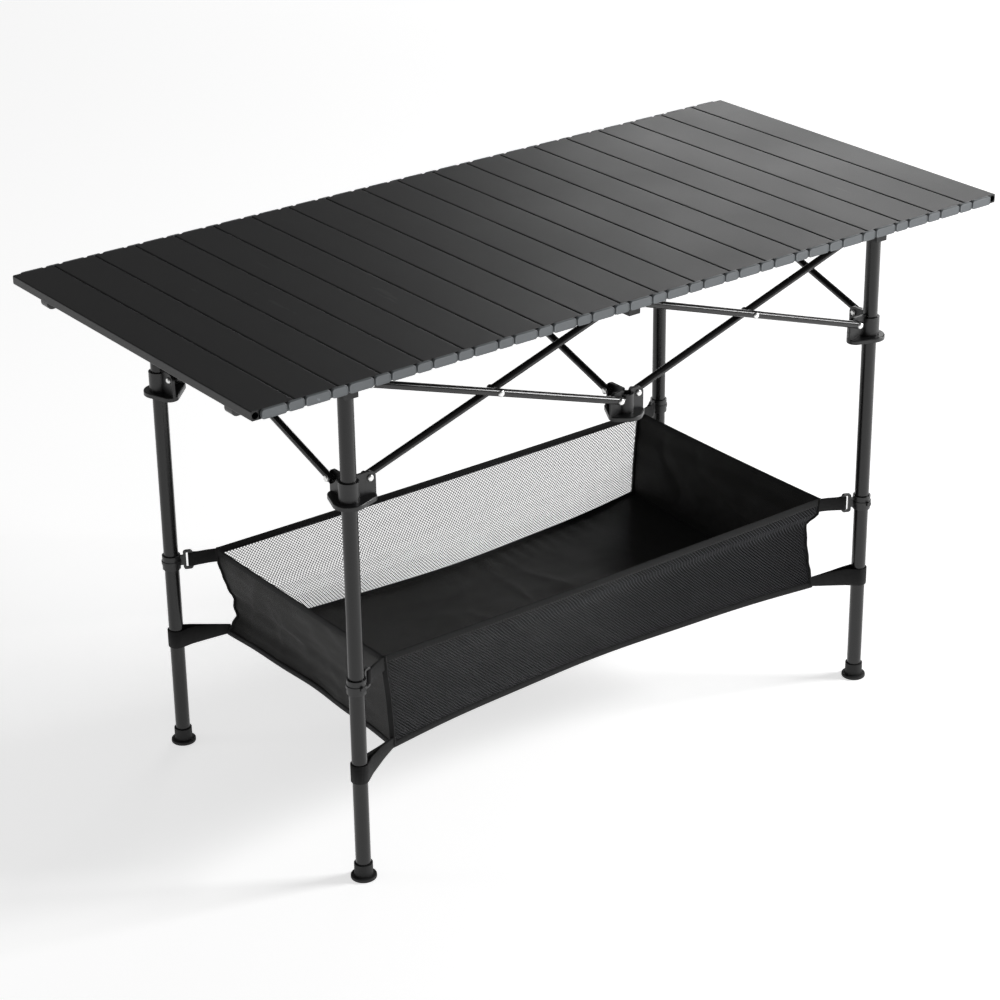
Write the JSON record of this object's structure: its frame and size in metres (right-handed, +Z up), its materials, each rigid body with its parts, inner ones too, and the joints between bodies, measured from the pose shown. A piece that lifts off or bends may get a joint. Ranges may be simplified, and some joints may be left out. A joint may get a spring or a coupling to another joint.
{
  "type": "camp kitchen table",
  "caption": "Roll-top slatted camp kitchen table on a folding scissor frame with single-tube legs and a hanging cloth and net storage basket.",
  "frame": {"origin": "on the ground, under the middle of the table", "axes": "+X along the table to its right, +Y to its back, +Z up"},
  "size_m": [1.1986, 0.572, 0.715],
  "materials": {
    "black_tube": "black powder-coated tube, satin",
    "rubber": "matt black rubber",
    "black_plastic": "fine-grained moulded black plastic",
    "grey_plastic": "slate-grey moulded plastic",
    "bright_rivet": "bright zinc-plated steel",
    "black_slat": "matt black powder coat with fine grain",
    "black_cloth": "close-woven coated cloth",
    "black_net": "open woven net",
    "black_webbing": "ribbed webbing and binding tape"
  },
  "bodies": {
    "front_left_leg": {"leg_front_left": "black_tube", "foot_front_left": "rubber", "top_hub_front_left": "black_plastic", "basket_fabric": "black_cloth", "basket_net": "black_net", "basket_webbing": "black_webbing"},
    "front_left_slider": {"slider_front_left": "black_plastic"},
    "front_left_collar": {"net_collar_front_left": "black_plastic"},
    "front_right_leg": {"leg_front_right": "black_tube", "foot_front_right": "rubber", "top_hub_front_right": "black_plastic"},
    "front_right_slider": {"slider_front_right": "black_plastic"},
    "front_right_collar": {"net_collar_front_right": "black_plastic"},
    "back_left_leg": {"leg_back_left": "black_tube", "foot_back_left": "rubber", "top_hub_back_left": "black_plastic"},
    "back_left_slider": {"slider_back_left": "black_plastic"},
    "back_left_collar": {"net_collar_back_left": "black_plastic"},
    "back_right_leg": {"leg_back_right": "black_tube", "foot_back_right": "rubber", "top_hub_back_right": "black_plastic"},
    "back_right_slider": {"slider_back_right": "black_plastic"},
    "back_right_collar": {"net_collar_back_right": "black_plastic"},
    "front_middle_top": {"top_hub_front_middle": "black_plastic"},
    "front_middle_lower": {"lower_hub_front_middle": "black_plastic"},
    "back_middle_top": {"top_hub_back_middle": "black_plastic"},
    "back_middle_lower": {"lower_hub_back_middle": "black_plastic"},
    "front_left_outer_strut": {"strut_front_left_outer": "black_tube", "rivets_front_left_outer": "bright_rivet"},
    "front_left_inner_strut": {"strut_front_left_inner": "black_tube", "rivets_front_left_inner": "bright_rivet"},
    "front_right_outer_strut": {"strut_front_right_outer": "black_tube", "rivets_front_right_outer": "bright_rivet"},
    "front_right_inner_strut": {"strut_front_right_inner": "black_tube", "rivets_front_right_inner": "bright_rivet"},
    "back_left_outer_strut": {"strut_back_left_outer": "black_tube", "rivets_back_left_outer": "bright_rivet"},
    "back_left_inner_strut": {"strut_back_left_inner": "black_tube", "rivets_back_left_inner": "bright_rivet"},
    "back_right_outer_strut": {"strut_back_right_outer": "black_tube", "rivets_back_right_outer": "bright_rivet"},
    "back_right_inner_strut": {"strut_back_right_inner": "black_tube", "rivets_back_right_inner": "bright_rivet"},
    "left_outer_strut": {"strut_left_outer": "black_tube", "rivets_left_outer": "bright_rivet"},
    "left_inner_strut": {"strut_left_inner": "black_tube", "rivets_left_inner": "bright_rivet"},
    "right_outer_strut": {"strut_right_outer": "black_tube", "rivets_right_outer": "bright_rivet"},
    "right_inner_strut": {"strut_right_inner": "black_tube", "rivets_right_inner": "bright_rivet"},
    "middle_left_strut": {"strut_middle_left": "black_tube", "rivets_middle_left": "bright_rivet"},
    "middle_right_strut": {"strut_middle_right": "black_tube", "rivets_middle_right": "bright_rivet"},
    "tabletop": {"slats": "black_slat", "slat_end_caps": "grey_plastic", "slat_links": "grey_plastic", "hook_lugs": "black_plastic"}
  },
  "joints": [
    {"name": "frame_fold", "type": "hinge", "parent": "front_left_leg", "child": "front_left_outer_strut", "pos_m": [-0.402, -0.222, 0.681], "axis": [0, 1, 0], "range_deg": [0, 66], "deforming": ["basket_fabric", "basket_net", "basket_webbing"]},
    {"name": "front_left_crossing", "type": "hinge", "parent": "front_left_outer_strut", "child": "front_left_inner_strut", "pos_m": [-0.21, -0.222, 0.6185], "axis": [0, 1, 0], "range_deg": [-132.5, 0]},
    {"name": "front_middle_lower_pivot", "type": "hinge", "parent": "front_left_outer_strut", "child": "front_middle_lower", "pos_m": [-0.018, -0.222, 0.556], "axis": [0, 1, 0], "range_deg": [-66.5, 0]},
    {"name": "front_middle_top_pivot", "type": "hinge", "parent": "front_left_inner_strut", "child": "front_middle_top", "pos_m": [-0.018, -0.222, 0.681], "axis": [0, 1, 0], "range_deg": [0, 66.5]},
    {"name": "front_left_slider_pivot", "type": "hinge", "parent": "front_left_inner_strut", "child": "front_left_slider", "pos_m": [-0.402, -0.222, 0.556], "axis": [0, 1, 0], "range_deg": [0, 66.5]},
    {"name": "front_right_inner_pivot", "type": "hinge", "parent": "front_middle_lower", "child": "front_right_inner_strut", "pos_m": [0.018, -0.222, 0.556], "axis": [0, 1, 0], "range_deg": [-66.5, 0]},
    {"name": "front_right_crossing", "type": "hinge", "parent": "front_right_inner_strut", "child": "front_right_outer_strut", "pos_m": [0.21, -0.222, 0.6185], "axis": [0, 1, 0], "range_deg": [0, 132.5]},
    {"name": "front_right_leg_pivot", "type": "hinge", "parent": "front_right_inner_strut", "child": "front_right_leg", "pos_m": [0.402, -0.222, 0.681], "axis": [0, 1, 0], "range_deg": [0, 66.5]},
    {"name": "front_right_slider_pivot", "type": "hinge", "parent": "front_right_outer_strut", "child": "front_right_slider", "pos_m": [0.402, -0.222, 0.556], "axis": [0, 1, 0], "range_deg": [-66.5, 0]},
    {"name": "left_inner_pivot", "type": "hinge", "parent": "front_left_leg", "child": "left_inner_strut", "pos_m": [-0.432, -0.192, 0.681], "axis": [1, 0, 0], "range_deg": [-66.5, 0]},
    {"name": "left_crossing", "type": "hinge", "parent": "left_inner_strut", "child": "left_outer_strut", "pos_m": [-0.432, 0, 0.6185], "axis": [1, 0, 0], "range_deg": [0, 132.5]},
    {"name": "back_left_leg_pivot", "type": "hinge", "parent": "left_outer_strut", "child": "back_left_leg", "pos_m": [-0.432, 0.192, 0.681], "axis": [1, 0, 0], "range_deg": [-66.5, 0]},
    {"name": "back_left_outer_pivot", "type": "hinge", "parent": "back_left_leg", "child": "back_left_outer_strut", "pos_m": [-0.402, 0.222, 0.681], "axis": [0, 1, 0], "range_deg": [0, 66.5]},
    {"name": "back_left_crossing", "type": "hinge", "parent": "back_left_outer_strut", "child": "back_left_inner_strut", "pos_m": [-0.21, 0.222, 0.6185], "axis": [0, 1, 0], "range_deg": [-132.5, 0]},
    {"name": "back_middle_lower_pivot", "type": "hinge", "parent": "back_left_outer_strut", "child": "back_middle_lower", "pos_m": [-0.018, 0.222, 0.556], "axis": [0, 1, 0], "range_deg": [-66.5, 0]},
    {"name": "back_middle_top_pivot", "type": "hinge", "parent": "back_left_inner_strut", "child": "back_middle_top", "pos_m": [-0.018, 0.222, 0.681], "axis": [0, 1, 0], "range_deg": [0, 66.5]},
    {"name": "back_left_slider_pivot", "type": "hinge", "parent": "back_left_inner_strut", "child": "back_left_slider", "pos_m": [-0.402, 0.222, 0.556], "axis": [0, 1, 0], "range_deg": [0, 66.5]},
    {"name": "back_right_inner_pivot", "type": "hinge", "parent": "back_middle_lower", "child": "back_right_inner_strut", "pos_m": [0.018, 0.222, 0.556], "axis": [0, 1, 0], "range_deg": [-66.5, 0]},
    {"name": "back_right_crossing", "type": "hinge", "parent": "back_right_inner_strut", "child": "back_right_outer_strut", "pos_m": [0.21, 0.222, 0.6185], "axis": [0, 1, 0], "range_deg": [0, 132.5]},
    {"name": "back_right_leg_pivot", "type": "hinge", "parent": "back_right_inner_strut", "child": "back_right_leg", "pos_m": [0.402, 0.222, 0.681], "axis": [0, 1, 0], "range_deg": [0, 66.5]},
    {"name": "back_right_slider_pivot", "type": "hinge", "parent": "back_right_outer_strut", "child": "back_right_slider", "pos_m": [0.402, 0.222, 0.556], "axis": [0, 1, 0], "range_deg": [-66.5, 0]},
    {"name": "middle_left_pivot", "type": "hinge", "parent": "front_middle_lower", "child": "middle_left_strut", "pos_m": [0, -0.192, 0.556], "axis": [1, 0, 0], "range_deg": [0, 66.5]},
    {"name": "middle_crossing", "type": "hinge", "parent": "middle_left_strut", "child": "middle_right_strut", "pos_m": [0, 0, 0.6185], "axis": [1, 0, 0], "range_deg": [-132.5, 0]},
    {"name": "right_inner_pivot", "type": "hinge", "parent": "front_right_leg", "child": "right_inner_strut", "pos_m": [0.432, -0.192, 0.681], "axis": [1, 0, 0], "range_deg": [-66.5, 0]},
    {"name": "right_crossing", "type": "hinge", "parent": "right_inner_strut", "child": "right_outer_strut", "pos_m": [0.432, 0, 0.6185], "axis": [1, 0, 0], "range_deg": [0, 132.5]},
    {"name": "front_left_collar_slide", "type": "slide", "parent": "front_left_leg", "child": "front_left_collar", "axis": [0, 0, 1], "range_m": [-0.047, 0]},
    {"name": "front_right_collar_slide", "type": "slide", "parent": "front_right_leg", "child": "front_right_collar", "axis": [0, 0, 1], "range_m": [-0.047, 0]},
    {"name": "back_left_collar_slide", "type": "slide", "parent": "back_left_leg", "child": "back_left_collar", "axis": [0, 0, 1], "range_m": [-0.047, 0]},
    {"name": "back_right_collar_slide", "type": "slide", "parent": "back_right_leg", "child": "back_right_collar", "axis": [0, 0, 1], "range_m": [-0.047, 0]},
    {"name": "tabletop_lift", "type": "slide", "parent": "front_left_leg", "child": "tabletop", "axis": [0, 0, 1], "range_m": [0, 0.3]}
  ],
  "couplings": [
    {"joint": "front_left_crossing", "follows": "frame_fold", "ratio": -2},
    {"joint": "front_middle_lower_pivot", "follows": "frame_fold", "ratio": -1},
    {"joint": "front_middle_top_pivot", "follows": "frame_fold", "ratio": 1},
    {"joint": "front_left_slider_pivot", "follows": "frame_fold", "ratio": 1},
    {"joint": "front_right_inner_pivot", "follows": "frame_fold", "ratio": -1},
    {"joint": "front_right_crossing", "follows": "frame_fold", "ratio": 2},
    {"joint": "front_right_leg_pivot", "follows": "frame_fold", "ratio": 1},
    {"joint": "front_right_slider_pivot", "follows": "frame_fold", "ratio": -1},
    {"joint": "left_inner_pivot", "follows": "frame_fold", "ratio": -1},
    {"joint": "left_crossing", "follows": "frame_fold", "ratio": 2},
    {"joint": "back_left_leg_pivot", "follows": "frame_fold", "ratio": -1},
    {"joint": "back_left_outer_pivot", "follows": "frame_fold", "ratio": 1},
    {"joint": "back_left_crossing", "follows": "frame_fold", "ratio": -2},
    {"joint": "back_middle_lower_pivot", "follows": "frame_fold", "ratio": -1},
    {"joint": "back_middle_top_pivot", "follows": "frame_fold", "ratio": 1},
    {"joint": "back_left_slider_pivot", "follows": "frame_fold", "ratio": 1},
    {"joint": "back_right_inner_pivot", "follows": "frame_fold", "ratio": -1},
    {"joint": "back_right_crossing", "follows": "frame_fold", "ratio": 2},
    {"joint": "back_right_leg_pivot", "follows": "frame_fold", "ratio": 1},
    {"joint": "back_right_slider_pivot", "follows": "frame_fold", "ratio": -1},
    {"joint": "middle_left_pivot", "follows": "frame_fold", "ratio": 1},
    {"joint": "middle_crossing", "follows": "frame_fold", "ratio": -2},
    {"joint": "right_inner_pivot", "follows": "frame_fold", "ratio": -1},
    {"joint": "right_crossing", "follows": "frame_fold", "ratio": 2},
    {"joint": "front_left_collar_slide", "follows": "frame_fold", "m_per_rad": -0.039933},
    {"joint": "front_right_collar_slide", "follows": "frame_fold", "m_per_rad": -0.039933},
    {"joint": "back_left_collar_slide", "follows": "frame_fold", "m_per_rad": -0.039933},
    {"joint": "back_right_collar_slide", "follows": "frame_fold", "m_per_rad": -0.039933}
  ]
}
